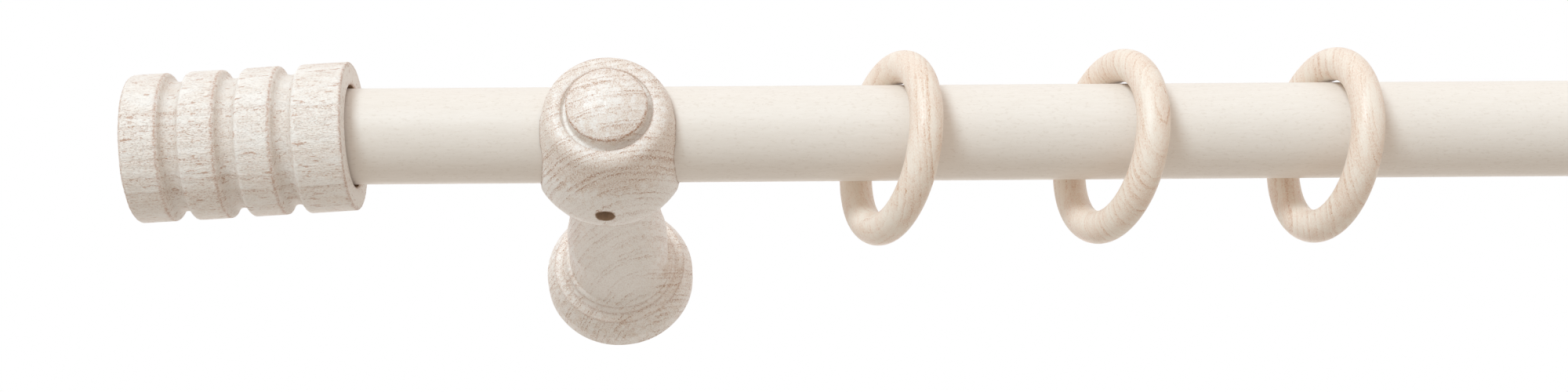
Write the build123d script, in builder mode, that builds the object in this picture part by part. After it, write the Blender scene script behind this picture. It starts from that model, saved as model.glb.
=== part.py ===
"""Wooden curtain rod: a 28 mm pole in two turned brackets, with push-on finials and loose rings.

Frame: X along the pole, Z up, the wall is the plane y = 0 and the room is on the -Y side.
The origin lies on the wall, midway between the two threaded inserts that take the wall bolts.
The brackets' turning axes are in the plane z = 0, and the pole lies a little above them.
All sizes are in millimetres.
"""
from build123d import *
from math import asin, cos, degrees, radians, sin, tan
import os

# Pole
pole_radius = 14.0
pole_length = 1000.0
pole_end_chamfer = 0.6
pole_out = 94.85
pole_rise = 2.65

# Bracket: one piece of beech, turned about an axis square to the wall. The bore for the pole
# is above that axis, which leaves more wood under the pole for the fixing screw.
# Names ending in "out" are distances from the wall into the room.
bracket_spacing = 824.0
bore_radius = 14.2
button_radius = 11.75
button_edge_out = 118.65
button_tip_out = 122.45
groove_wall_out = 114.95
groove_mouth_radius = 13.2
groove_mouth_out = 115.55
crown_radius = 18.4
crown_out = 112.75
taper_radius = 22.05
taper_out = 101.25
belly_radius = 23.25
belly_out = 93.35
belly_back_out = 90.75
lip_radius = 21.4
lip_out = 83.45
lip_round = 0.6
shoulder_out = 82.65
neck_top_radius = 13.9
neck_waist_radius = 13.1
neck_waist_out = 62.35
bell_radius = 15.4
bell_out = 34.55
bead_out = 16.75
bead_radius = 16.6
cove_out = 15.1
cove_hollow = 0.9
step_out = 11.85
step_inner_radius = 19.7
step_radius = 20.3
band_middle_radius = 21.7
band_middle_out = 8.85
band_full_out = 5.85
rosette_radius = 22.95
rosette_chamfer = 0.6

# Threaded insert in the bracket's base, for an M8 bolt that stands out of the wall
insert_radius = 5.5
insert_bore_radius = 3.4
insert_length = 15.0
insert_recess = 0.5
insert_slot_width = 1.6
insert_slot_depth = 1.5
insert_hole_radius = 5.55
insert_hole_depth = 22.0

# Fixing screw in the hole under the head, which bites into the pole. The hole was marked out
# by hand, so it is a little to one side. A drop is a distance below the pole's axis.
screw_hole_radius = 2.75
screw_hole_shift = -1.0
screw_hole_setback = 1.3
screw_seat_drop = 18.5
screw_clearance_radius = 1.75
screw_shank_radius = 1.5
screw_head_radius = 2.6
screw_head_height = 1.8
screw_slot_width = 0.8
screw_slot_depth = 0.8
screw_bite = 4.0
screw_point_height = 1.4
screw_point_inset = 1.35
pilot_radius = 1.55
pilot_end_gap = 0.3

# A cutting solid starts this far outside the surface that it cuts
cut_start = 1.0

# Finial: a turned cap that slips over the pole's end. Its socket is loose, so it hangs a little
# low and leans. The heading is measured from the wall's direction, downwards.
finial_radius = 21.7
finial_length = 64.6
finial_groove_count = 3
finial_first_groove = 17.3
finial_groove_pitch = 16.4
finial_groove_width = 5.6
finial_groove_depth = 2.8
finial_groove_shoulder = 1.3
finial_edge_round = 1.7
finial_mouth_chamfer = 0.4
finial_lean = 4.85
finial_lean_heading = 12.6
finial_drop = 0.25
finial_grip = 13.9
socket_running_gap = 0.35
socket_end_gap = 1.4

# Rings: round-section wood, each hanging on the pole and turned a little about the vertical.
# They hang in three groups of three, the middle one of each a little off centre.
ring_mean_radius = 24.0
ring_section_radius = 4.85
ring_rest_gap = 0.3
group_centres = [-266.8, 0.0, 266.8]
places_in_group = [-63.4, 0.8, 63.4]
ring_turns = [23, 24.5, 21, 24, 22, 25, 22, 24.5, 21.5]

sides = {"left": -1, "right": 1}


def across_pole(x):
    """Plane square to the pole, with its origin on the pole's axis."""
    return Plane(origin=(x, -pole_out, pole_rise), x_dir=(0, 1, 0), z_dir=(1, 0, 0))


def screw_level(bracket_x, drop):
    """Level plane a drop below the pole's axis, with its origin on the fixing screw's axis."""
    origin = (bracket_x + screw_hole_shift, screw_hole_setback - pole_out, pole_rise - drop)
    return Plane(origin=origin, x_dir=(1, 0, 0), z_dir=(0, 0, 1))


def inside_base(x, depth):
    """Plane parallel to the wall, a depth inside the bracket, whose normal faces the room."""
    return Plane(origin=(x, -depth, 0), x_dir=(1, 0, 0), z_dir=(0, -1, 0))


def circles_of(part, radius):
    """The part's circular edges of one radius."""
    edges = part.edges().filter_by(GeomType.CIRCLE)
    return edges.filter_by(lambda edge: abs(edge.radius - radius) < 0.01)


def save(part, label):
    part.label = label
    export_step(part, f"parts/{label}.step")


def make_pole():
    with BuildPart() as pole:
        with BuildSketch(across_pole(-pole_length / 2)):
            Circle(pole_radius)
        extrude(amount=pole_length)
        chamfer(circles_of(pole, pole_radius), pole_end_chamfer)
        for side in sides.values():
            with BuildSketch(screw_level(side * bracket_spacing / 2, pole_radius + cut_start)):
                Circle(pilot_radius)
            extrude(amount=screw_bite + cut_start, mode=Mode.SUBTRACT)
    return pole.part


def make_bracket(x):
    """Button, round head, neck, bell and rosette in one turning, bored for the pole."""
    dome_height = button_tip_out - button_edge_out
    dome_radius = (button_radius**2 + dome_height**2) / (2 * dome_height)
    dome_sweep = degrees(asin(button_radius / dome_radius))
    head_drop = belly_radius + pole_rise + cut_start
    with BuildPart() as bracket:
        # The profile's first number is a radius, and its second is minus the distance out
        with BuildSketch(Plane(origin=(x, 0, 0), x_dir=(0, 0, 1), z_dir=(-1, 0, 0))):
            with BuildLine():
                dome = CenterArc((0, dome_radius - button_tip_out), dome_radius, -90, dome_sweep)
                inner_wall = Line(dome @ 1, (button_radius, -groove_wall_out))
                outer_wall = Line(
                    (groove_mouth_radius, -groove_wall_out), (groove_mouth_radius, -groove_mouth_out)
                )
                RadiusArc(inner_wall @ 1, outer_wall @ 0, (groove_mouth_radius - button_radius) / 2)
                taper = Line((crown_radius, -crown_out), (taper_radius, -taper_out))
                TangentArc(taper @ 0, outer_wall @ 1, tangent=(taper % 0) * -1)
                belly = Line((belly_radius, -belly_out), (belly_radius, -belly_back_out))
                TangentArc(belly @ 0, taper @ 1, tangent=(0, -1))
                back = TangentArc(belly @ 1, (lip_radius, -lip_out), tangent=(0, 1))
                shoulder = Polyline(back @ 1, (lip_radius, -shoulder_out), (neck_top_radius, -shoulder_out))
                neck = ThreePointArc(
                    shoulder @ 1, (neck_waist_radius, -neck_waist_out), (bell_radius, -bell_out)
                )
                bell = Line(neck @ 1, (bell_radius, -bead_out))
                bead = RadiusArc(bell @ 1, (bead_radius, -cove_out), -(bead_radius - bell_radius))
                cove = SagittaArc(bead @ 1, (step_inner_radius, -step_out), cove_hollow)
                step = Line(cove @ 1, (step_radius, -step_out))
                band = ThreePointArc(
                    step @ 1, (band_middle_radius, -band_middle_out), (rosette_radius, -band_full_out)
                )
                Polyline(band @ 1, (rosette_radius, 0), (0, 0), dome @ 0)
            make_face()
        revolve(axis=Axis((x, 0, 0), (0, 1, 0)))
        fillet(circles_of(bracket, lip_radius).sort_by(Axis.Y)[-1], lip_round)
        chamfer(circles_of(bracket, rosette_radius).sort_by(Axis.Y)[-1], rosette_chamfer)
        with BuildSketch(across_pole(x)):
            Circle(bore_radius)
        extrude(amount=belly_radius + cut_start, both=True, mode=Mode.SUBTRACT)
        with BuildSketch(screw_level(x, head_drop)):
            Circle(screw_hole_radius)
        extrude(amount=head_drop - screw_seat_drop, mode=Mode.SUBTRACT)
        with BuildSketch(screw_level(x, screw_seat_drop)):
            Circle(screw_clearance_radius)
        extrude(amount=screw_seat_drop - pole_radius + cut_start, mode=Mode.SUBTRACT)
        with BuildSketch(inside_base(x, 0)):
            Circle(insert_hole_radius)
        extrude(amount=insert_hole_depth, mode=Mode.SUBTRACT)
    return bracket.part


def make_wall_insert(x):
    """Threaded sleeve with a driving slot across its outer end. The threads are left plain."""
    with BuildPart() as insert:
        with BuildSketch(inside_base(x, insert_recess)):
            Circle(insert_radius)
            Circle(insert_bore_radius, mode=Mode.SUBTRACT)
        extrude(amount=insert_length)
        with BuildSketch(inside_base(x, insert_recess)):
            Rectangle(2 * insert_radius + cut_start, insert_slot_width)
        extrude(amount=insert_slot_depth, mode=Mode.SUBTRACT)
    return insert.part


def make_fixing_screw(x):
    """Slotted wood screw, head down, seated on the step inside its hole."""
    head_drop = screw_seat_drop + screw_head_height
    tip_drop = pole_radius - screw_bite + pilot_end_gap
    with BuildPart() as screw:
        with BuildSketch(screw_level(x, head_drop)):
            Circle(screw_head_radius)
        extrude(amount=screw_head_height)
        with BuildSketch(screw_level(x, screw_seat_drop)):
            Circle(screw_shank_radius)
        extrude(amount=screw_seat_drop - tip_drop)
        chamfer(screw.edges().sort_by(Axis.Z)[-1], screw_point_height, screw_point_inset)
        with BuildSketch(screw_level(x, head_drop)):
            Rectangle(2 * screw_head_radius + cut_start, screw_slot_width)
        extrude(amount=screw_slot_depth, mode=Mode.SUBTRACT)
    return screw.part


def make_finial(side):
    """Turned cap with round-bottomed grooves and a blind socket, leaning on the pole's end.

    The socket's rim bears on one side of the pole and its far wall on the other, so the cap
    leans about a point halfway along the grip.
    """
    lean = radians(finial_lean)
    heading = radians(finial_lean_heading)
    leaning_towards = Vector(0, cos(heading), -sin(heading))
    outwards = Vector(side, 0, 0) * cos(lean) + leaning_towards * sin(lean)
    swing = finial_grip * tan(lean) / 2
    socket_radius = pole_radius + swing + socket_running_gap
    mouth_x = side * (pole_length / 2 - finial_grip)
    mouth_centre = Vector(mouth_x, -pole_out, pole_rise - finial_drop) - leaning_towards * swing
    upright = outwards.cross(Vector(0, 0, 1)).normalized()
    half_width = finial_groove_width / 2
    groove_arc_radius = (half_width**2 + finial_groove_depth**2) / (2 * finial_groove_depth)
    turning_axis = Axis(mouth_centre, outwards)
    turning_plane = Plane(origin=mouth_centre, x_dir=upright, z_dir=upright.cross(outwards))
    with BuildPart() as finial:
        with BuildSketch(turning_plane):
            with Locations((finial_radius / 2, finial_length / 2)):
                Rectangle(finial_radius, finial_length)
            arc_centre_radius = finial_radius + groove_arc_radius - finial_groove_depth
            for number in range(finial_groove_count):
                groove_at = finial_first_groove + number * finial_groove_pitch
                with Locations((arc_centre_radius, groove_at)):
                    Circle(groove_arc_radius, mode=Mode.SUBTRACT)
        revolve(axis=turning_axis)
        fillet(circles_of(finial, finial_radius).sort_by(turning_axis)[1:-1], finial_groove_shoulder)
        fillet(circles_of(finial, finial_radius).sort_by(turning_axis)[-1], finial_edge_round)
        chamfer(circles_of(finial, finial_radius).sort_by(turning_axis)[0], finial_mouth_chamfer)
        with BuildSketch(Plane(origin=mouth_centre, z_dir=outwards)):
            Circle(socket_radius)
        extrude(amount=finial_grip + socket_end_gap, mode=Mode.SUBTRACT)
        chamfer(circles_of(finial, socket_radius).sort_by(turning_axis)[0], finial_mouth_chamfer)
    return finial.part


def make_ring(x, turn):
    """Ring hanging on the pole: its plane is upright, turned about the vertical."""
    hang = ring_mean_radius - ring_section_radius - pole_radius - ring_rest_gap
    centre = Vector(x, -pole_out, pole_rise - hang)
    to_room = Vector(sin(radians(turn)), -cos(radians(turn)), 0)
    ring_plane = Plane(origin=centre, x_dir=to_room, z_dir=(0, 0, 1))
    with BuildPart() as ring:
        with BuildSketch(ring_plane):
            with Locations((ring_mean_radius, 0)):
                Circle(ring_section_radius)
        revolve(axis=Axis(centre, ring_plane.y_dir))
    return ring.part


os.makedirs("parts", exist_ok=True)
save(make_pole(), "pole")
for side_name, side in sides.items():
    bracket_x = side * bracket_spacing / 2
    save(make_bracket(bracket_x), f"bracket_{side_name}")
    save(make_wall_insert(bracket_x), f"wall_insert_{side_name}")
    save(make_fixing_screw(bracket_x), f"fixing_screw_{side_name}")
    save(make_finial(side), f"finial_{side_name}")

ring_xs = [centre + place for centre in group_centres for place in places_in_group]
for number, (ring_x, turn) in enumerate(zip(ring_xs, ring_turns), start=1):
    save(make_ring(ring_x, turn), f"ring_{number}")
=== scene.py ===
from math import acos, asin, atan2, cos, degrees, radians, sin, tan

import bpy
import numpy as np
from mathutils import Matrix, Vector


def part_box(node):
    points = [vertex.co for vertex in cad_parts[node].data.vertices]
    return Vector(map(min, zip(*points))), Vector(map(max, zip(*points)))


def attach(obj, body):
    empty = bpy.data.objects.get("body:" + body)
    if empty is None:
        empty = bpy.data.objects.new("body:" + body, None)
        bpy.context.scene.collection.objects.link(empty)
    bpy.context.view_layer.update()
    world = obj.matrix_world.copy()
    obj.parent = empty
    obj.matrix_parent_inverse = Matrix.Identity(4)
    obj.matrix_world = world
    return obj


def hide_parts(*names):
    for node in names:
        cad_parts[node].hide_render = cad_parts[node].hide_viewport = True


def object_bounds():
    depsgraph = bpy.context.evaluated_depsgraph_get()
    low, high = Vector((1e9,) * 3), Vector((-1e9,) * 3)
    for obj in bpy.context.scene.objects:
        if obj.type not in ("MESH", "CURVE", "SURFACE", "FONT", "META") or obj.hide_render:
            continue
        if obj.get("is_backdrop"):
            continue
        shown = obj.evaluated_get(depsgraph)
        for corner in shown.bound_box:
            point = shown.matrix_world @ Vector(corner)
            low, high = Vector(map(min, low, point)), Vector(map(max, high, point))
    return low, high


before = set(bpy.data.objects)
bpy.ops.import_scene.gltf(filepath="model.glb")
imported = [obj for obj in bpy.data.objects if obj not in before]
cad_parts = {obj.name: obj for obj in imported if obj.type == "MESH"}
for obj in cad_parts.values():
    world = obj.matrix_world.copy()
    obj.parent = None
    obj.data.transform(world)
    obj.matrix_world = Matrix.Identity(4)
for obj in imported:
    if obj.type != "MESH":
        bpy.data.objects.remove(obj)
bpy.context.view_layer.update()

MM = 0.001


# The pole: a straight 28 mm dowel with a small chamfer at each end, sanded smooth and sprayed
# with an off-white satin paint through which a little of the grain still shows.
# It lies in the two brackets and carries the rings and the finials.

def softened(corners, stations, rounding):
    """A lathe profile with its corners eased, as sandpaper leaves them. The outline through the
    corners, (distance along, radius) in mm, is walked in even small steps, each step becomes
    the bell-weighted mean of its neighbours within about 3 roundings, and the stations are
    then dealt out so that they crowd where the outline turns."""
    longest_step, reach_in_roundings, crowding, sharpest_turn = 0.05, 3, 6, 3
    corners = np.array(corners, float)
    walked = np.append(0, np.cumsum(np.hypot(*np.diff(corners, axis=0).T)))
    step = min(longest_step, rounding / 3)
    even = np.linspace(0, walked[-1], int(walked[-1] / step) + 1)
    outline = np.stack([np.interp(even, walked, c) for c in corners.T], 1)
    reach = int(reach_in_roundings * rounding / step)
    bell = np.exp(-0.5 * (np.arange(-reach, reach + 1) * step / rounding) ** 2)
    padded = np.concatenate([2 * outline[0] - outline[reach:0:-1], outline,
                             2 * outline[-1] - outline[-2:-reach - 2:-1]])
    outline = np.stack([np.convolve(c, bell / bell.sum(), "valid") for c in padded.T], 1)
    heading = np.unwrap(np.arctan2(*np.gradient(outline, axis=0).T[::-1]))
    turning = np.abs(np.gradient(heading, step))
    crowd = np.cumsum(1 + crowding * np.minimum(turning, sharpest_turn))
    chosen = np.interp(np.linspace(crowd[0], crowd[-1], stations), crowd, even)
    return np.stack([np.interp(chosen, even, c) for c in outline.T], 1)


def surface(name, points, *faces):
    """A mesh object in the scene from an array of points in metres and arrays of faces."""
    mesh = bpy.data.meshes.new(name)
    mesh.from_pydata(points.tolist(), [], sum((f.tolist() for f in faces), []))
    mesh.shade_smooth()
    piece = bpy.data.objects.new(name, mesh)
    bpy.context.scene.collection.objects.link(piece)
    return piece


def turned(name, profile, foot, axis, upright, columns, relief=None):
    """A piece from the lathe, as one closed skin. A row of the grid is a station of the
    profile and a column is an angle round the work: point = foot + axis * along
    + (side * sin(angle) + upright * cos(angle)) * radius, moved along the profile's own normal
    by relief(along, radius, angle). Sizes are in mm and the foot is in metres. The profile
    starts and ends on the axis, where a row is a single point."""
    foot, axis, upright = (np.array(v, float) for v in (foot, axis, upright))
    side = np.cross(axis, upright)
    slope = np.gradient(profile, axis=0)
    slope /= np.hypot(*slope.T)[:, None]
    angle = np.arange(columns) * 2 * np.pi / columns
    along, radius = (np.repeat(c[1:-1, None], columns, 1) for c in profile.T)
    turn = np.broadcast_to(angle, along.shape)
    lift = relief(along, radius, turn) if relief else 0
    along, radius = along - lift * slope[1:-1, 1:], radius + lift * slope[1:-1, :1]
    out = np.sin(turn)[..., None] * side + np.cos(turn)[..., None] * upright
    skin = foot + (along[..., None] * axis + radius[..., None] * out) * MM
    ends = foot + profile[[0, -1], :1] * axis * MM
    here = np.arange(along.size).reshape(along.shape)
    ahead = np.roll(here, -1, 1)
    first, last = (np.full(columns, along.size + end) for end in (0, 1))
    return surface(
        name, np.concatenate([skin.reshape(-1, 3), ends]),
        np.stack([here[:-1], ahead[:-1], ahead[1:], here[1:]], -1).reshape(-1, 4),
        np.stack([first, ahead[0], here[0]], -1), np.stack([last, here[-1], ahead[-1]], -1))


def ink(code):
    """A colour written as six hex digits, as the linear numbers that a shader takes."""
    shares = np.array([int(code[i:i + 2], 16) for i in (0, 2, 4)]) / 255
    return (*np.where(shares <= 0.04045, shares / 12.92, ((shares + 0.055) / 1.055) ** 2.4), 1.0)


def node(tree, kind, feeds=None, **settings):
    """A new node. settings are its properties; feeds are its inputs, by name or number, each
    given a value or another node's output."""
    made = tree.nodes.new(kind)
    for key, value in settings.items():
        setattr(made, key, value)
    for key, value in (feeds or {}).items():
        if isinstance(value, bpy.types.NodeSocket):
            tree.links.new(value, made.inputs[key])
        else:
            made.inputs[key].default_value = value
    return made


def finish_of(name, roughness, coat=0.0):
    """A material, its nodes and its Principled BSDF, whose even values stand on the shader's
    own sockets."""
    made = bpy.data.materials.new(name)
    made.use_nodes = True
    shader = made.node_tree.nodes["Principled BSDF"]
    shader.inputs["Roughness"].default_value = roughness
    shader.inputs["Coat Weight"].default_value = coat
    shader.inputs["Coat Roughness"].default_value = 0.3
    return made, made.node_tree, shader


def effect(name, takes, gives):
    """An empty node group: its inputs as (name, kind, usual value) and outputs as (name, kind)."""
    group = bpy.data.node_groups.new(name, "ShaderNodeTree")
    for label, kind, usual in takes:
        made = group.interface.new_socket(label, in_out="INPUT", socket_type="NodeSocket" + kind)
        if usual is not None:
            made.default_value = usual
    for label, kind in gives:
        group.interface.new_socket(label, in_out="OUTPUT", socket_type="NodeSocket" + kind)
    return group, group.nodes.new("NodeGroupInput").outputs, group.nodes.new("NodeGroupOutput")


def maths(tree, operation, *values):
    """The output of a Math node, fed with numbers and with other nodes' outputs."""
    return node(tree, "ShaderNodeMath", dict(enumerate(values)), operation=operation).outputs[0]


def vectors(tree, operation, first, second):
    """The output of a Vector Math node of two inputs."""
    feeds = {0: first, "Scale" if operation == "SCALE" else 1: second}
    return node(tree, "ShaderNodeVectorMath", feeds, operation=operation).outputs[0]


def noise(tree, place, scale, detail=2.0, roughness=0.5):
    """Smooth irregular noise, about 0.5 on average."""
    return node(tree, "ShaderNodeTexNoise", {"Vector": place, "Scale": scale, "Detail": detail,
                                             "Roughness": roughness}).outputs["Fac"]


def ramp(tree, value, low, high):
    """0 up to low, 1 from high, and a smooth rise between them; falls where high is lower."""
    return node(tree, "ShaderNodeMapRange", {"Value": value, "From Min": low, "From Max": high},
                interpolation_type="SMOOTHSTEP").outputs["Result"]


def blend(tree, share, first, second):
    """The first colour with the given share of the second."""
    return node(tree, "ShaderNodeMix", {0: share, 6: first, 7: second},
                data_type="RGBA").outputs[2]


def place_group(tree, group, feeds):
    """The outputs of a node group placed in a material, its inputs given by name."""
    return node(tree, "ShaderNodeGroup", feeds, node_tree=group).outputs


def fibre_group():
    """Wood fibre seen up close: fine streaks that sway a little, and short pores, both drawn
    out along the third of the wood coordinates, which are in mm."""
    sway_scale, sway = 0.35, 1.2
    streak_draw, pore_draw = (1, 1, 0.1), (1, 1, 0.45)
    pore_fineness, pore_start, pore_edge = 1.25, 0.78, 0.1
    group, given, result = effect(
        "wood_fibre",
        [("Wood", "Vector", None), ("Fineness", "Float", 2.0), ("Pore Share", "Float", 0.3)],
        [("Streak", "Float"), ("Pore", "Float")])
    bent = node(group, "ShaderNodeTexNoise", {"Vector": given["Wood"], "Scale": sway_scale,
                                              "Detail": 1.0}).outputs["Color"]
    wavy = vectors(group, "ADD", given["Wood"], vectors(group, "SCALE", bent, sway))
    long_fibre = vectors(group, "MULTIPLY", wavy, streak_draw)
    streak = noise(group, long_fibre, given["Fineness"], detail=4.0, roughness=0.65)
    short_fibre = vectors(group, "MULTIPLY", given["Wood"], pore_draw)
    finer = maths(group, "MULTIPLY", given["Fineness"], pore_fineness)
    low = maths(group, "SUBTRACT", pore_start, given["Pore Share"])
    pore = ramp(group, noise(group, short_fibre, finer), low,
                maths(group, "ADD", low, pore_edge))
    group.links.new(streak, result.inputs["Streak"])
    group.links.new(pore, result.inputs["Pore"])
    return group


wood_fibre = fibre_group()


def pole_paint():
    """Satin off-white paint over sanded wood: the faintest long streaks and specks of grain,
    and a little unevenness in the shine. The wood's third coordinate runs along the pole."""
    paint_thin, paint_thick, grain_colour = ink("e9e0d5"), ink("f5eee6"), ink("c0ac96")
    speck_share, cloud_scale, least_rough, more_rough = 0.15, 0.12, 0.33, 0.16
    made, tree, shader = finish_of("pole_paint", 0.4)
    place = node(tree, "ShaderNodeTexCoord")
    wood = node(tree, "ShaderNodeMapping", {
        "Vector": place.outputs["Object"], "Rotation": (0, radians(90), 0),
        "Scale": (1 / MM, 1 / MM, 1 / MM)}, vector_type="POINT").outputs[0]
    fibre = place_group(tree, wood_fibre, {"Wood": wood, "Fineness": 1.3, "Pore Share": 0.2})
    tone = blend(tree, fibre["Streak"], paint_thin, paint_thick)
    specks = maths(tree, "MULTIPLY", fibre["Pore"], speck_share)
    tree.links.new(blend(tree, specks, tone, grain_colour), shader.inputs["Base Color"])
    shine = maths(tree, "MULTIPLY_ADD", noise(tree, wood, cloud_scale), more_rough, least_rough)
    tree.links.new(shine, shader.inputs["Roughness"])
    bump = node(tree, "ShaderNodeBump", {"Height": fibre["Streak"], "Strength": 0.25,
                                         "Distance": 0.03 * MM})
    tree.links.new(bump.outputs[0], shader.inputs["Normal"])
    return made


pole_low, pole_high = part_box("pole")
pole_centre = (pole_low + pole_high) / 2
pole_radius = (pole_high.z - pole_low.z) / 2 / MM
pole_length = (pole_high.x - pole_low.x) / MM
pole_chamfer = 0.6
pole_outline = [(0, 0), (0, pole_radius - pole_chamfer), (pole_chamfer, pole_radius),
                (pole_length - pole_chamfer, pole_radius),
                (pole_length, pole_radius - pole_chamfer), (pole_length, 0)]

pole = turned("painted_pole", softened(pole_outline, stations=160, rounding=0.15),
              foot=(pole_low.x, pole_centre.y, pole_centre.z), axis=(1, 0, 0), upright=(0, 0, 1),
              columns=144)
pole.data.materials.append(pole_paint())
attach(pole, "rod")
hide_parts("pole")


# The brackets: each is one piece of wood turned about an axis square to the wall, with a ball
# head, a button on its front and a moulded rosette against the wall. The head is bored through
# for the pole and drilled from below for a small screw, then the wood is limed.

def bow(centre, size, start, stop, count=40):
    """Points of an arc in the profile, by its centre, radius and two angles in degrees."""
    angle = np.radians(np.linspace(start, stop, count))
    return np.stack([centre[0] + size * np.cos(angle), centre[1] + size * np.sin(angle)], 1)


def bend(start, middle, stop, count=40):
    """Points of the arc through three points of the profile."""
    (a, b), (c, d), (e, f) = start, middle, stop
    across = 2 * (a * (d - f) + c * (f - b) + e * (b - d))
    x = ((a * a + b * b) * (d - f) + (c * c + d * d) * (f - b) + (e * e + f * f) * (b - d)) / across
    y = ((a * a + b * b) * (e - c) + (c * c + d * d) * (a - e) + (e * e + f * f) * (c - a)) / across
    angles = np.unwrap([atan2(q - y, p - x) for p, q in (start, middle, stop)])
    return bow((x, y), np.hypot(a - x, b - y), degrees(angles[0]), degrees(angles[2]), count)


def cut(piece, cutter):
    """Takes the cutter's volume out of the piece, and the cutter out of the scene."""
    step = piece.modifiers.new("cut", "BOOLEAN")
    step.object, step.operation, step.solver = cutter, "DIFFERENCE", "EXACT"
    graph = bpy.context.evaluated_depsgraph_get()
    finished = bpy.data.meshes.new_from_object(piece.evaluated_get(graph))
    piece.modifiers.clear()
    piece.data = finished
    bpy.data.objects.remove(cutter)


def plug(name, radius, start, stop, columns, relief=None):
    """A closed cylinder between two points, to cut with."""
    start, stop = Vector(start), Vector(stop)
    length = (stop - start).length
    axis = (stop - start).normalized()
    upright = axis.orthogonal().normalized()
    ends = [(0, 0), (0, radius / MM), (length / MM, radius / MM), (length / MM, 0)]
    return turned(name, np.array(ends, float), start, axis, upright, columns, relief)


def uneven(seed, count, rounds, lengths, closed=False):
    """A smooth irregular height over a turned skin, about -1 to 1. It is a sum of waves, each
    cos(whole number * angle + along / length + phase), so it closes round the work. When along
    is itself an angle, closed makes 1 / length a whole number too."""
    dice = np.random.default_rng(seed)
    whole = dice.integers(rounds[0], rounds[1] + 1, count)[:, None, None]
    pitch = (dice.choice([-1, 1], count) / dice.uniform(*lengths, count))[:, None, None]
    pitch = np.round(pitch) if closed else pitch
    phase = dice.uniform(0, 2 * np.pi, count)[:, None, None]

    def height(along, turn):
        return np.cos(whole * turn + pitch * along + phase).sum(0) * (2 / count) ** 0.5 * 0.7
    return height


def near(along, radius, corners, width):
    """1 on the nearest of the given corners of the profile, falling to 0 over the width (mm)."""
    corners = np.array(corners, float)
    apart = (along[..., None] - corners[:, 0]) ** 2 + (radius[..., None] - corners[:, 1]) ** 2
    return np.exp(-apart.min(-1) / width ** 2)


def places(piece):
    """The piece's points as an array, in metres."""
    flat = np.empty(len(piece.data.vertices) * 3, np.float32)
    piece.data.vertices.foreach_get("co", flat)
    return flat.reshape(-1, 3).astype(float)


def mark(piece, name, values):
    """Stores a number, or three, on each point, for the finish to read."""
    kind = "FLOAT" if values.ndim == 1 else "FLOAT_VECTOR"
    made = piece.data.attributes.new(name, kind, "POINT")
    made.data.foreach_set("value" if values.ndim == 1 else "vector",
                          values.astype(np.float32).ravel())


def sawn(piece, heart, fibre, bark):
    """Stores each point's wood coordinates, in mm: the third runs along the fibre, and the
    first two are measured from the tree's heart, the second of them towards the bark."""
    fibre = Vector(fibre).normalized()
    across = Vector(bark).cross(fibre).normalized()
    basis = np.array([across, fibre.cross(across), fibre])
    mark(piece, "wood", (places(piece) - np.array(heart, float)) @ basis.T / MM)


def growth_group():
    """Growth rings of a tree: the distance from the heart, made to wander, is cut into years.
    Each year darkens to a broad late band and ends in a thin line. Both come and go: the band
    fades out over some stretches, and the line is broken into dashes."""
    wander_scale, ripple_scale, ripple, uneven_years = 0.05, 0.9, 1.3, 1.8
    round_as_far, drawn_out, gap_scale = 70.0, (1, 1, 0.2), 0.6
    fade_size, fade_edge = (0.09, 0.3, 0.04), (0.38, 0.62)
    dash_size, dash_edge = (0.5, 2.2, 0.3), (0.42, 0.6)
    late_grows, late_stops = (0.25, 0.85), (1.0, 0.9)
    line_grows, line_stops = (0.72, 0.86), (1.0, 0.93)
    group, given, result = effect(
        "growth_rings",
        [("Wood", "Vector", None), ("Year", "Float", 2.4), ("Wander", "Float", 6.0)],
        [("Late", "Float"), ("Line", "Float")])
    drawn = vectors(group, "MULTIPLY", given["Wood"], drawn_out)
    slow = node(group, "ShaderNodeTexNoise", {"Vector": drawn, "Scale": wander_scale, "Detail": 2.5,
                                              "Roughness": 0.45}).outputs["Color"]
    slow = vectors(group, "SUBTRACT", slow, (0.5, 0.5, 0.5))
    quick = node(group, "ShaderNodeTexNoise", {"Vector": drawn, "Scale": ripple_scale, "Detail": 3.0,
                                               "Roughness": 0.6}).outputs["Color"]
    moved = vectors(group, "ADD", given["Wood"], vectors(group, "SCALE", slow, given["Wander"]))
    moved = vectors(group, "ADD", moved, vectors(group, "SCALE", quick, ripple))
    split = node(group, "ShaderNodeSeparateXYZ", {0: moved}).outputs
    squares = [maths(group, "MULTIPLY", split[i], split[i]) for i in (0, 1)]
    distance = maths(group, "SQRT", maths(group, "ADD", *squares))
    round_heart = maths(group, "MULTIPLY", maths(group, "ARCTAN2", split[0], split[1]),
                        round_as_far)
    years = maths(group, "DIVIDE", distance, given["Year"])
    gap = node(group, "ShaderNodeTexNoise", {"W": years, "Scale": gap_scale, "Detail": 1.0},
               noise_dimensions="1D").outputs["Fac"]
    season = maths(group, "FRACT", maths(group, "MULTIPLY_ADD", gap, uneven_years, years))
    laid = node(group, "ShaderNodeCombineXYZ", {0: round_heart, 1: distance,
                                                2: split[2]}).outputs[0]
    fade = noise(group, vectors(group, "MULTIPLY", laid, fade_size), 1.0)
    fade = ramp(group, fade, *fade_edge)
    dash = noise(group, vectors(group, "MULTIPLY", laid, dash_size), 1.0, roughness=0.6)
    dash = ramp(group, dash, *dash_edge)
    late = maths(group, "MULTIPLY", ramp(group, season, *late_grows),
                 ramp(group, season, *late_stops))
    late = maths(group, "MULTIPLY", late, maths(group, "MULTIPLY_ADD", fade, 0.75, 0.25))
    line = maths(group, "MULTIPLY", ramp(group, season, *line_grows),
                 ramp(group, season, *line_stops))
    line = maths(group, "MULTIPLY", line, maths(group, "MULTIPLY_ADD", fade, 0.7, 0.3))
    line = maths(group, "MULTIPLY", line, dash)
    group.links.new(late, result.inputs["Late"])
    group.links.new(line, result.inputs["Line"])
    return group


growth_rings = growth_group()


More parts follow.
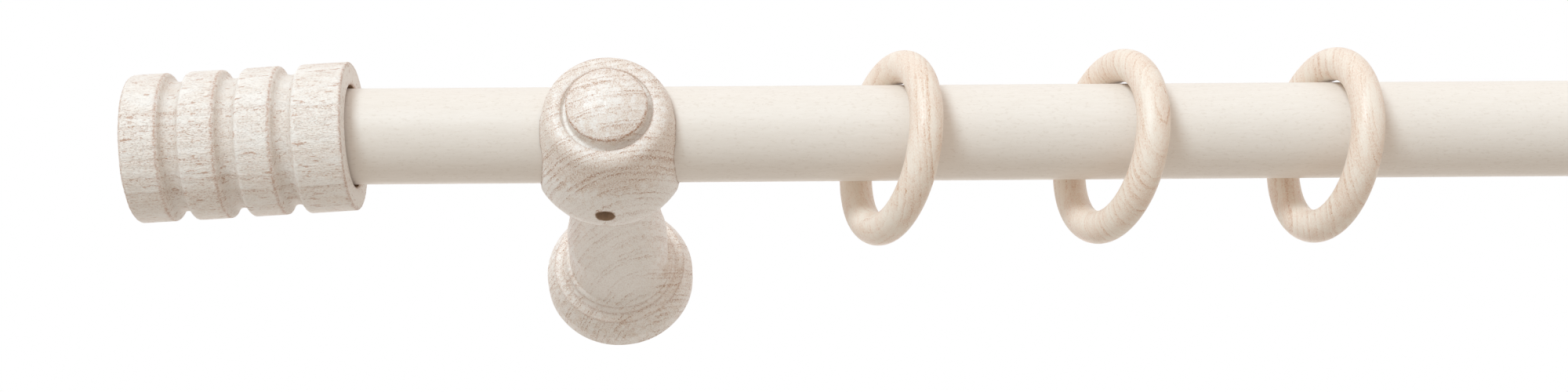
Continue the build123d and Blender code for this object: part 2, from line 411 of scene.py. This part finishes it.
def limed_group():
    """Limed wood: a thin white lime over bare wood. The lime is thick in hollows, and thin in
    patches where the wood's blush comes through; the input for thick lime also carries painted
    light, so the colour is painted paler wherever a piece gives it. Streaks, late bands, pores, the
    ends of the years, flecks and the corners that handling has rubbed show brown, and crumbs of lime
    lie over all. Height rises with the streaks and falls in pores and at the ends of the years, and
    Matt is what the lime adds to the roughness."""
    late_pull, lime_and_light_pull, thick_at, thin_at = 0.12, -0.3, 0.33, 0.62
    least_blush, more_blush, least_shown, more_shown = 0.15, 0.65, 0.45, 0.5
    streak_edge, streak_strength, late_strength, pore_strength = (0.45, 0.66), 0.22, 0.45, 0.3
    patch_draw, fleck_draw, crumb_draw = (1, 1, 0.35), (1, 1, 0.22), (1, 1, 0.5)
    fleck_scale, rubbed_scale, crumb_scale = 0.9, 1.1, 3.0
    fleck_start, fleck_edge, rubbed_edge, crumb_edge = 0.8, 0.06, (0.3, 0.55), (0.5, 0.62)
    fleck_strength, rubbed_strength, crumb_strength = 0.6, 0.6, 0.6
    group, given, result = effect(
        "limed_wood",
        [("Wood", "Vector", None), ("Late", "Float", 0.0), ("Line", "Float", 0.0),
         ("Streak", "Float", 0.5), ("Pore", "Float", 0.0), ("Worn", "Float", 0.0),
         ("Thick Lime And Painted Light", "Float", 0.0), ("Lime", "Color", (0.9, 0.9, 0.9, 1)),
         ("Blush", "Color", (0.7, 0.6, 0.5, 1)), ("Brown", "Color", (0.4, 0.25, 0.15, 1)),
         ("Patch Size", "Float", 4.0), ("Grain Strength", "Float", 0.6),
         ("Line Strength", "Float", 0.4), ("Fleck Share", "Float", 0.1)],
        [("Color", "Color"), ("Height", "Float"), ("Matt", "Float")])
    soft = vectors(group, "MULTIPLY", given["Wood"], patch_draw)
    patch = noise(group, soft, maths(group, "DIVIDE", 1.0, given["Patch Size"]),
                  detail=4.0, roughness=0.6)
    patch = maths(group, "MULTIPLY_ADD", given["Late"], late_pull, patch)
    patch = maths(group, "MULTIPLY_ADD", given["Thick Lime And Painted Light"], lime_and_light_pull, patch)
    thin = ramp(group, patch, thick_at, thin_at)
    colour = blend(group, maths(group, "MULTIPLY_ADD", thin, more_blush, least_blush),
                   given["Lime"], given["Blush"])
    showing = maths(group, "MULTIPLY_ADD", thin, more_shown, least_shown)
    faint = maths(group, "MULTIPLY", ramp(group, given["Streak"], *streak_edge), streak_strength)
    late = maths(group, "MULTIPLY", given["Late"], late_strength)
    band = maths(group, "MULTIPLY", late, given["Line Strength"])
    pores = maths(group, "MULTIPLY", given["Pore"], maths(group, "ADD", late, pore_strength))
    lines = maths(group, "MULTIPLY", given["Line"], given["Line Strength"])
    grain = maths(group, "MULTIPLY", maths(group, "ADD", faint, pores), given["Grain Strength"])
    brown = maths(group, "ADD", grain, maths(group, "ADD", band, lines))
    brown = maths(group, "MULTIPLY", brown, showing)
    fleck = noise(group, vectors(group, "MULTIPLY", given["Wood"], fleck_draw), fleck_scale,
                  detail=3.0, roughness=0.6)
    low = maths(group, "SUBTRACT", fleck_start, given["Fleck Share"])
    fleck = ramp(group, fleck, low, maths(group, "ADD", low, fleck_edge))
    rubbed = noise(group, given["Wood"], rubbed_scale, detail=3.0, roughness=0.65)
    rubbed = maths(group, "MULTIPLY", ramp(group, rubbed, *rubbed_edge), given["Worn"])
    brown = maths(group, "MAXIMUM", brown, maths(group, "MULTIPLY", fleck, fleck_strength))
    brown = maths(group, "MAXIMUM", brown, maths(group, "MULTIPLY", rubbed, rubbed_strength))
    colour = blend(group, brown, colour, given["Brown"])
    crumbs = noise(group, vectors(group, "MULTIPLY", given["Wood"], crumb_draw), crumb_scale,
                   detail=1.0)
    crumbs = maths(group, "MULTIPLY", ramp(group, crumbs, *crumb_edge), crumb_strength)
    colour = blend(group, crumbs, colour, given["Lime"])
    height = maths(group, "MULTIPLY", given["Streak"], 0.5)
    height = maths(group, "MULTIPLY_ADD", given["Pore"], -0.5, height)
    height = maths(group, "MULTIPLY_ADD", given["Line"], -0.25, height)
    group.links.new(colour, result.inputs["Color"])
    group.links.new(height, result.inputs["Height"])
    group.links.new(maths(group, "MULTIPLY_ADD", thin, -0.1, 0.05), result.inputs["Matt"])
    return group


limed_wood = limed_group()


def limed_finish(name, lime, blush, brown, patch, year, wander, fineness, pores, grain, lines,
                 flecks, depth, roughness, coat=0.0):
    """A limed material, which reads the wood coordinates and the marks stored on its piece.
    Where it is bored, the wood is raw. Patch, year and wander are in mm, and so is depth, the
    relief of the grain."""
    raw_dark, raw_light = ink("8a6a4c"), ink("b8977a")
    made, tree, shader = finish_of(name, roughness, coat)
    wood = node(tree, "ShaderNodeAttribute", attribute_name="wood").outputs["Vector"]
    # The second mark read here holds both lime lying thick in hollows and painted light.
    worn, thick_lime_and_painted_light, bored = (node(tree, "ShaderNodeAttribute", attribute_name=kept).outputs["Fac"]
                           for kept in ("worn", "thick_lime_and_painted_light", "bored"))
    fibre = place_group(tree, wood_fibre, {"Wood": wood, "Fineness": fineness,
                                           "Pore Share": pores})
    rings = place_group(tree, growth_rings, {"Wood": wood, "Year": year, "Wander": wander})
    limed = place_group(tree, limed_wood, {
        "Wood": wood, "Late": rings["Late"], "Line": rings["Line"], "Streak": fibre["Streak"],
        "Pore": fibre["Pore"], "Worn": worn, "Thick Lime And Painted Light": thick_lime_and_painted_light, "Lime": ink(lime),
        "Blush": ink(blush), "Brown": ink(brown), "Patch Size": patch,
        "Grain Strength": grain, "Line Strength": lines, "Fleck Share": flecks})
    raw = blend(tree, fibre["Streak"], raw_dark, raw_light)
    bump = node(tree, "ShaderNodeBump", {"Height": limed["Height"], "Strength": 0.5,
                                         "Distance": depth * MM})
    tree.links.new(blend(tree, bored, limed["Color"], raw), shader.inputs["Base Color"])
    shine = maths(tree, "ADD", limed["Matt"], roughness)
    tree.links.new(shine, shader.inputs["Roughness"])
    tree.links.new(bump.outputs[0], shader.inputs["Normal"])
    return made


bracket_finish = limed_finish(
    "limed_bracket_wood", lime="faf7f2", blush="ecded0", brown="b3886b", patch=2.0, year=1.75,
    wander=2.5, fineness=2.3, pores=0.3, grain=1.05, lines=0.36, flecks=0.06, depth=0.1,
    roughness=0.44, coat=0.1)

# The turned outline, in mm: distance from the wall and radius, from the front to the wall.
pole_out, pole_rise = -pole_centre.y / MM, pole_centre.z / MM
button_radius, button_edge, button_tip = 11.75, 118.65, 122.45
groove_floor, groove_mouth = 114.95, (115.55, 13.2)
crown, crown_middle, taper_end = (112.75, 18.4), (107, 20.6), (101.25, 22.05)
belly, belly_back = (93.35, 23.25), (90.75, 23.25)
lip, shoulder, neck_top, neck_waist = (83.45, 21.4), 82.65, (82.65, 13.9), (62.35, 13.1)
bell, bead_bottom, bead_middle, bead_top = (34.55, 15.4), (16.75, 15.4), (16.28, 16.23), (15.1, 16.6)
cove_middle, step_in, step_out = (12.81, 17.69), (11.85, 19.7), (11.85, 20.3)
band_middle, band_full, back_chamfer = (8.85, 21.7), (5.85, 22.95), 0.6
bore_radius, hole_radius, hole_shift, hole_setback, hole_depth = 14.2, 2.75, -1.0, 1.3, 18.5
insert_hole, insert_depth = 5.55, 22.0


def tangent_bend(start, heading, stop, count=40):
    """Points of the arc that leaves the start with the given heading and ends at the stop. Its
    radius is the chord's square over twice the chord's part that is square to the heading."""
    chord = np.subtract(stop, start)
    square = np.array([-heading[1], heading[0]]) / np.hypot(*heading)
    size = chord @ chord / (2 * chord @ square)
    centre = start + size * square
    first, last = (degrees(atan2(*(point - centre)[::-1])) for point in (start, stop))
    last = first + (last - first) % 360 - 360 * bool(size < 0)
    return bow(centre, abs(size), first, last, count)


groove_middle = (groove_mouth[1] + button_radius) / 2
dome_height = button_tip - button_edge
dome_size = (button_radius ** 2 + dome_height ** 2) / (2 * dome_height)
bracket_outline = np.concatenate([
    [(0, 0), (0, band_full[1] - back_chamfer), (back_chamfer, band_full[1])],
    bend(band_full, band_middle, step_out),
    [step_in],
    bend(step_in, cove_middle, bead_top),
    bend(bead_top, bead_middle, bead_bottom),
    bend(bell, neck_waist, neck_top),
    [(shoulder, lip[1])],
    tangent_bend(belly_back, (-1, 0), lip)[::-1],
    tangent_bend(belly, (1, 0), taper_end),
    tangent_bend(crown, np.subtract(crown, taper_end), groove_mouth),
    bow((groove_floor, groove_middle), groove_mouth[1] - groove_middle, 90, 270),
    bow((button_tip - dome_size, 0), dome_size, degrees(asin(button_radius / dome_size)), 0)])
bracket_corners = [(button_edge, button_radius), groove_mouth, lip, bead_top, step_out,
                   cove_middle, (back_chamfer / 2, band_full[1] - back_chamfer / 2)]
button_groove = (groove_floor - 0.7, groove_middle)
bracket_waves = uneven(seed=3, count=22, rounds=(1, 9), lengths=(2.0, 9.0))
hole_tears = uneven(seed=5, count=14, rounds=(2, 9), lengths=(400.0, 900.0))
bracket_heart = np.array([0.016, -0.070, -0.066])
bracket_fibre, bracket_bark = (0.05, 0.93, 0.36), (-0.2, -0.35, 0.91)


def bracket_relief(along, radius, turn):
    """Slow unevenness of the turning and sanding, up to about 0.1 mm. It only takes wood away,
    and none from the flat back: 0.05 * (waves - 0.8), where that is below 0."""
    return 0.05 * np.minimum(bracket_waves(along, turn) - 0.8, 0) * np.clip(along, 0, 1)


def torn(along, radius, turn):
    """The drill's torn edge: the hole is up to 0.2 mm wider or narrower from place to place."""
    return 0.11 * hole_tears(along, turn)


def rise(value, start, stop):
    """0 before the start, 1 past the stop, and a straight slope between them."""
    return np.clip((value - start) / (stop - start), 0, 1)


def hump(distance, width):
    """1 where the distance is 0, falling off over the width: exp(-(distance / width)^2)."""
    return np.exp(-(distance / width) ** 2)


def eased(piece, from_edge, towards, most, width):
    """Moves the points near an edge along towards, by most * hump(distance from it, width) mm."""
    spot = places(piece) + (most * hump(from_edge, width) * MM)[:, None] * towards
    piece.data.vertices.foreach_set("co", spot.astype(np.float32).ravel())


# How far a cutter reaches past the wood, in metres, and how far off a cut wall a point of it
# may lie, in mm.
past_head, past_back = 0.03, 0.003
on_wall, in_tears = 0.03, 0.25
# The widths of the wear on each kind of edge, and the width, reach and depths of the bore's
# eased edge, in mm.
corner_width, button_width, crown_width, bore_width, hole_width = 0.5, 0.6, 3.5, 0.9, 0.4
easing_width, easing_reach, least_easing, top_easing, bottom_easing = 1.2, 3, 0.1, 0.65, 0.5

for side in ("left", "right"):
    low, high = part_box("bracket_" + side)
    x = (low.x + high.x) / 2
    bracket = turned("limed_bracket_" + side,
                     softened(bracket_outline, stations=330, rounding=0.16),
                     foot=(x, 0, 0), axis=(0, -1, 0), upright=(0, 0, 1), columns=216,
                     relief=bracket_relief)
    cut(bracket, plug("cut", bore_radius * MM, (x - past_head, *pole_centre[1:]),
                      (x + past_head, *pole_centre[1:]), columns=160))
    hole_x, hole_y = x + hole_shift * MM, pole_centre.y + hole_setback * MM
    cut(bracket, plug("cut", hole_radius * MM, (hole_x, hole_y, -past_head),
                      (hole_x, hole_y, pole_centre.z - hole_depth * MM), columns=96, relief=torn))
    cut(bracket, plug("cut", insert_hole * MM, (x, past_back, 0), (x, -insert_depth * MM, 0),
                      columns=48))

    # Where each point is, in mm: from the wall, from the turning axis, from the pole's axis.
    spot = places(bracket) / MM
    along, level = -spot[:, 1], spot[:, 2]
    radius = np.hypot(spot[:, 0] - x / MM, level)
    from_pole = np.hypot(along - pole_out, level - pole_rise)
    from_hole = np.hypot(spot[:, 0] - hole_x / MM, spot[:, 1] - hole_y / MM)
    in_bore = np.abs(from_pole - bore_radius) < on_wall
    in_hole = (np.abs(from_hole - hole_radius) < in_tears) & (level < 0)
    in_back = (np.abs(radius - insert_hole) < on_wall) & (along < insert_depth)
    mark(bracket, "bored", (in_bore | in_hole | in_back).astype(float))

    # Hands and sanding wear the corners, the holes' edges and a little of the crown.
    corners = near(along, radius, bracket_corners, corner_width)
    button = near(along, radius, bracket_corners[:1], button_width)
    handled = near(along, radius, [crown, crown_middle], crown_width)
    bore_lip = hump(from_pole - bore_radius, bore_width)
    hole_lip = hump(from_hole - hole_radius, hole_width) * (level < 0)
    worn = corners + 1.2 * button + 0.25 * handled + bore_lip + hole_lip
    mark(bracket, "worn", np.clip(worn, 0, 1.8))

    # The lime lies thick in the button's groove and thin on the crown. The underside of the head and
    # neck is painted paler, as painted light where the lamps leave the undersides in shade, and the
    # button's middle is painted paler as a painted highlight.
    below = rise(-level, 6, 14) * rise(along, 108, 94) * np.maximum(rise(along, 7.2, 19.2), 0.25)
    middle = hump(radius, 5) * (along > button_edge)
    limed = np.maximum(near(along, radius, [button_groove], 1.3), 0.8 * below)
    # This mark holds the groove's real lime together with the painted light of the underside and the
    # painted highlight of the button's middle.
    mark(bracket, "thick_lime_and_painted_light", np.maximum(limed, 0.35 * middle) - 0.4 * handled)
    sawn(bracket, (x, 0, 0) + bracket_heart, bracket_fibre, bracket_bark)

    # The bore's edge is rounded over towards the turning axis, most at the top and the bottom.
    inwards = np.stack([x / MM - spot[:, 0], np.zeros(len(spot)), -level], 1)
    inwards /= np.maximum(np.linalg.norm(inwards, axis=1), 1)[:, None]
    on_head = np.abs(along - pole_out) < bore_radius + easing_reach
    from_edge = np.where(on_head, from_pole - bore_radius, np.inf)
    upper, lower = rise(level - pole_rise, -2.5, 2.5), rise(level - pole_rise, -9, -12)
    most = least_easing + top_easing * upper + bottom_easing * lower
    eased(bracket, from_edge, inwards, most, easing_width)
    bracket.data.materials.clear()
    bracket.data.materials.append(bracket_finish)
    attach(bracket, "rod")
    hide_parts("bracket_" + side)


# Inside each bracket: a zinc-plated threaded sleeve in its base, for the bolt that stands out
# of the wall, and under its head a small slotted screw that bites into the pole.

def zinc():
    """Bright zinc plate: a little clouding, and fine specks, duller and a trace higher."""
    dull_zinc, bright_zinc, least_rough, more_rough = ink("b9bbba"), ink("dcdcd6"), 0.22, 0.28
    made, tree, shader = finish_of("zinc_steel", 0.34)
    shader.inputs["Metallic"].default_value = 1.0
    place = node(tree, "ShaderNodeTexCoord").outputs["Object"]
    in_mm = vectors(tree, "SCALE", place, 1 / MM)
    cloud, specks = noise(tree, in_mm, 0.5, detail=4.0), noise(tree, in_mm, 7.0)
    bump = node(tree, "ShaderNodeBump", {"Height": specks, "Strength": 0.25,
                                         "Distance": 0.02 * MM})
    tree.links.new(blend(tree, cloud, dull_zinc, bright_zinc), shader.inputs["Base Color"])
    shine = maths(tree, "MULTIPLY_ADD", specks, more_rough, least_rough)
    tree.links.new(shine, shader.inputs["Roughness"])
    tree.links.new(bump.outputs[0], shader.inputs["Normal"])
    return made


zinc_finish = zinc()
for name in ("wall_insert_left", "wall_insert_right", "fixing_screw_left", "fixing_screw_right"):
    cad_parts[name].data.materials.clear()
    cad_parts[name].data.materials.append(zinc_finish)


# The finials: turned wooden caps with three round-bottomed grooves, which leave four lands.
# Each has a blind socket that slips over the pole's end, a loose fit, so the cap leans a
# little. They are limed and brushed along the fibre, which runs along the cap.

finial_radius, finial_length, finial_rounding, mouth_ease = 21.7, 64.6, 1.7, 0.4
groove_count, first_groove, groove_pitch = 3, 17.3, 16.4
groove_half, groove_depth, groove_shoulder = 2.8, 2.8, 1.3
grip, socket_depth, socket_play, drop = 13.9, 15.3, 0.35, 0.25
lean, lean_heading = radians(4.85), radians(12.6)
swing = grip * tan(lean) / 2
socket_radius = pole_radius + swing + socket_play
groove_size = (groove_half ** 2 + groove_depth ** 2) / (2 * groove_depth)
groove_middle = finial_radius + groove_size - groove_depth
shoulder_middle = finial_radius - groove_shoulder
apart = groove_size + groove_shoulder
groove_sweep = degrees(acos((groove_middle - shoulder_middle) / apart))
shoulder_at = apart * sin(radians(groove_sweep))
groove_places = first_groove + groove_pitch * np.arange(groove_count)
finial_outline = np.concatenate([
    [(socket_depth, 0), (socket_depth, socket_radius), (mouth_ease, socket_radius),
     (0, socket_radius + mouth_ease), (0, finial_radius - mouth_ease),
     (mouth_ease, finial_radius)],
    *[np.concatenate([
        bow((place - shoulder_at, shoulder_middle), groove_shoulder, 90, 90 - groove_sweep),
        bow((place, groove_middle), groove_size, 270 - groove_sweep, 270 + groove_sweep),
        bow((place + shoulder_at, shoulder_middle), groove_shoulder, 90 + groove_sweep, 90)])
      for place in groove_places],
    bow((finial_length - finial_rounding, finial_radius - finial_rounding), finial_rounding, 90, 0),
    [(finial_length, 0)]])
# Worn corners and softer ones, given a little inside, where their rounding runs.
finial_corners = [(place + shoulder_at - 0.3, finial_radius - 0.2) for place in groove_places]
finial_corners += [(0.3, finial_radius - 0.3), (0.3, socket_radius + 0.3),
                   (finial_length - 0.4, finial_radius - 0.4)]
soft_edges = [(place - shoulder_at + 0.5, finial_radius - 0.3) for place in groove_places]
finial_fibres = uneven(seed=11, count=40, rounds=(30, 70), lengths=(6.0, 40.0))
finial_waves = uneven(seed=12, count=20, rounds=(1, 12), lengths=(4.0, 20.0))
finial_heart, finial_bark = np.array([0, 0.030, -0.070]), (0, -0.3, 1)


def finial_relief(along, radius, turn):
    """Fibres raised along the cap by the brush, over slow unevenness of the turning: the sum of
    0.03 * fibres and 0.05 * waves, less 0.07, on the outside only."""
    outside = rise(radius, 18, 19.5)
    return outside * (0.03 * finial_fibres(along, turn) + 0.05 * finial_waves(along, turn) - 0.07)


finial_finish = limed_finish(
    "limed_finial_wood", lime="fdf9f3", blush="f4eadf", brown="b06f3c", patch=5.0, year=7.0,
    wander=10.0, fineness=2.6, pores=0.23, grain=0.8, lines=0.18, flecks=0.21, depth=1.0,
    roughness=0.5)

# How strongly the lime lies in the grooves and on the softer edges, how much paler the mouth's face
# is painted, as painted light on a face that the lamps leave in shade, and how much raw wood shows
# in the grooves.
groove_lime, edge_lime, painted_mouth_light, groove_raw = 0.1, 0.35, 1.2, 0.12
for side, way in (("left", -1), ("right", 1)):
    leaning = np.array([0, cos(lean_heading), -sin(lean_heading)])
    outwards = np.array([way, 0, 0]) * cos(lean) + leaning * sin(lean)
    pole_end = pole_low.x if way < 0 else pole_high.x
    mouth = np.array([pole_end - way * grip * MM, *pole_centre[1:]]) - leaning * swing * MM
    mouth[2] -= drop * MM
    upright = np.cross(np.cross(outwards, (0, 0, 1)), outwards)
    upright /= np.linalg.norm(upright)
    finial = turned("limed_finial_" + side,
                    softened(finial_outline, stations=340, rounding=0.14),
                    foot=mouth, axis=outwards, upright=upright, columns=256,
                    relief=finial_relief)
    spot = (places(finial) - mouth) / MM
    along = spot @ outwards
    radius = np.linalg.norm(spot - along[:, None] * outwards, axis=1)
    mark(finial, "worn", near(along, radius, finial_corners, 0.55))
    in_groove = rise(finial_radius - radius, 0.4, 1.9)
    in_groove *= (np.abs(along[:, None] - groove_places).min(1) < groove_half) & (radius > 18)
    on_mouth = (along < 0.3) & (radius > socket_radius)
    on_edge = near(along, radius, soft_edges, 0.6)
    # Through this mark the grooves and softer edges get real lime, and the mouth's face gets painted
    # light.
    mark(finial, "thick_lime_and_painted_light", groove_lime * in_groove + edge_lime * on_edge + painted_mouth_light * on_mouth)
    in_socket = (radius < socket_radius + 0.1) & (along > 0.3) & (along < socket_depth + 0.1)
    mark(finial, "bored", np.maximum(in_socket, groove_raw * in_groove))
    sawn(finial, mouth + finial_heart, outwards, finial_bark)
    finial.data.materials.append(finial_finish)
    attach(finial, "finial_" + side)
    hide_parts("finial_" + side)


# The rings: nine loose curtain rings of round section, turned from planks, so the fibre runs
# straight up through each one. They are sanded, thinly limed and waxed, and hang on the pole.

ring_radius, section_radius, ring_play, sanding = 24.0, 4.85, 0.3, 0.03
ring_drop = ring_radius - section_radius - pole_radius - ring_play
# Each ring's turn about the vertical, and how far round from its face the bark was, in degrees.
ring_turns = (23, 24.5, 21, 24, 22, 25, 22, 24.5, 21.5)
bark_turns = (88, 20, 50)
heart_away, heart_aside = 0.060, 0.006


def hoop(name, centre, turn, seed, rows=240, columns=56):
    """A ring of round section hanging upright, turned about the vertical. A row of the grid is
    an angle round the ring and a column an angle round its section:
    point = centre + (ring radius + section * cos(column)) * spoke(row)
    + section * sin(column) * axle, where the section is the section's radius less up to about
    0.1 mm of uneven sanding."""
    to_room = np.array([sin(turn), -cos(turn), 0])
    upright = np.array([0, 0, 1.0])
    axle = np.cross(to_room, upright)
    round_ring = np.arange(rows)[:, None] * 2 * np.pi / rows
    round_section = np.arange(columns)[None, :] * 2 * np.pi / columns
    waves = uneven(seed, count=16, rounds=(1, 3), lengths=(0.16, 0.4), closed=True)
    waves = waves(round_ring * np.ones_like(round_section),
                  round_section * np.ones_like(round_ring))
    section = section_radius + sanding * np.minimum(waves - 1, 0)
    spoke = np.cos(round_ring)[..., None] * to_room + np.sin(round_ring)[..., None] * upright
    skin = np.array(centre) + MM * (
        (ring_radius + section * np.cos(round_section))[..., None] * spoke
        + (section * np.sin(round_section))[..., None] * axle)
    here = np.arange(rows * columns).reshape(rows, columns)
    up, ahead = np.roll(here, -1, 0), np.roll(here, -1, 1)
    corner = np.roll(up, -1, 1)
    return surface(name, skin.reshape(-1, 3), np.stack([here, up, corner, ahead], -1).reshape(-1, 4))


ring_finish = limed_finish(
    "waxed_ring_wood", lime="f6ede0", blush="efdac8", brown="c8946c", patch=6.0, year=1.9,
    wander=5.0, fineness=2.6, pores=0.22, grain=0.8, lines=0.36, flecks=0.0, depth=0.04,
    roughness=0.42)

for number, turn in enumerate(ring_turns, 1):
    name = f"ring_{number}"
    low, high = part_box(name)
    centre = np.array([(low.x + high.x) / 2, pole_centre.y, pole_centre.z - ring_drop * MM])
    turn = radians(turn)
    ring = hoop(f"wooden_{name}", centre, turn, 40 + number)
    facing = turn + radians(bark_turns[(number - 1) % len(bark_turns)])
    bark = np.array([sin(facing), -cos(facing), 0])
    heart = centre - bark * heart_away + np.array([heart_aside * (number % 3 - 1), 0, 0])
    fibre = (0.02 * (number % 4 - 1.5), 0.02, 1)
    sawn(ring, heart, fibre, bark)
    ring.data.materials.append(ring_finish)
    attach(ring, name)
    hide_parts(name)


# The studio: a pale floor well below the rod, a white surround, and soft lamps: the key to the
# left in the room and above, a broad one from low behind the rod and a faint one from the right.
# The camera stands in the room below the rod and looks up at it.

world = bpy.data.worlds.new("studio")
bpy.context.scene.world = world
world.use_nodes = True
sky = world.node_tree
sky.nodes.clear()
rays = node(sky, "ShaderNodeLightPath").outputs
seen = maths(sky, "MAXIMUM", rays["Is Camera Ray"], rays["Is Glossy Ray"])
seen = maths(sky, "MAXIMUM", seen, rays["Is Transmission Ray"])
fill_colour, fill_strength = ink("fff5ee"), 0.74
fill = node(sky, "ShaderNodeBackground", {"Color": fill_colour, "Strength": fill_strength})
white = node(sky, "ShaderNodeBackground", {"Color": (1, 1, 1, 1), "Strength": 1.0})
both = node(sky, "ShaderNodeMixShader", {0: seen, 1: fill.outputs[0], 2: white.outputs[0]})
node(sky, "ShaderNodeOutputWorld", {"Surface": both.outputs[0]})

floor_level, floor_half, floor_glow = -0.5, 6.0, 0.4
floor_lit, floor_seen = ink("ceccc7"), ink("f4f2ef")
corners = np.array([(-1, -1), (1, -1), (1, 1), (-1, 1)]) * floor_half
floor = surface("floor", np.insert(corners, 2, floor_level, axis=1), np.array([[0, 1, 2, 3]]))
made, tree, shader = finish_of("floor_white", 0.9)
looked_at = node(tree, "ShaderNodeLightPath").outputs["Is Camera Ray"]
tree.links.new(blend(tree, looked_at, floor_lit, floor_seen), shader.inputs["Base Color"])
shader.inputs["Emission Color"].default_value = floor_seen
tree.links.new(maths(tree, "MULTIPLY", looked_at, floor_glow), shader.inputs["Emission Strength"])
clear = node(tree, "ShaderNodeBsdfTransparent")
geometry = node(tree, "ShaderNodeNewGeometry")
see_through = node(tree, "ShaderNodeMixShader", {0: geometry.outputs["Backfacing"],
                                                 1: shader.outputs[0], 2: clear.outputs[0]})
tree.links.new(see_through.outputs[0], tree.nodes["Material Output"].inputs["Surface"])
floor.data.materials.append(made)
floor.visible_shadow = False
floor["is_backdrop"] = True

for name, colour, energy, spread, heading in (
        ("key_lamp", "e2f4ff", 1.7, 20, (0.394, 0.860, -0.300)),
        ("back_lamp", "fff9f7", 0.62, 60, (0.1, -0.94, 0.34)),
        ("right_lamp", "fffaf4", 0.14, 60, (-0.85, 0.5, 0.1))):
    lamp = bpy.data.objects.new(name, bpy.data.lights.new(name, "SUN"))
    lamp.data.color, lamp.data.energy, lamp.data.angle = ink(colour)[:3], energy, radians(spread)
    lamp.rotation_euler = Vector(heading).to_track_quat("-Z", "Y").to_euler()
    bpy.context.scene.collection.objects.link(lamp)

camera = bpy.data.objects.new("camera", bpy.data.cameras.new("camera"))
bpy.context.scene.collection.objects.link(camera)
camera.data.sensor_width, camera.data.lens = 36.0, 72.0
camera.data.clip_start, camera.data.clip_end = 0.01, 100.0
look_up, look_right, bank = radians(26.4), radians(1.05), radians(-0.87)
turned_up = (Matrix.Rotation(-look_right, 4, "Z") @ Matrix.Rotation(radians(90) + look_up, 4, "X")
             @ Matrix.Rotation(bank, 4, "Z"))
# The pole's axis inside the left head: where it is, and where the camera sees it, in metres to
# its right, above it and behind it.
low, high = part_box("bracket_left")
head = Vector(((low.x + high.x) / 2, pole_centre.y, pole_centre.z))
head_seen = Vector((-0.05086, 0.01783, -0.9143))
stand = head - turned_up.to_3x3() @ head_seen
camera.matrix_world = Matrix.Translation(stand) @ turned_up
bpy.context.scene.camera = camera
bpy.context.scene.view_settings.view_transform = "Standard"

low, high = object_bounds()
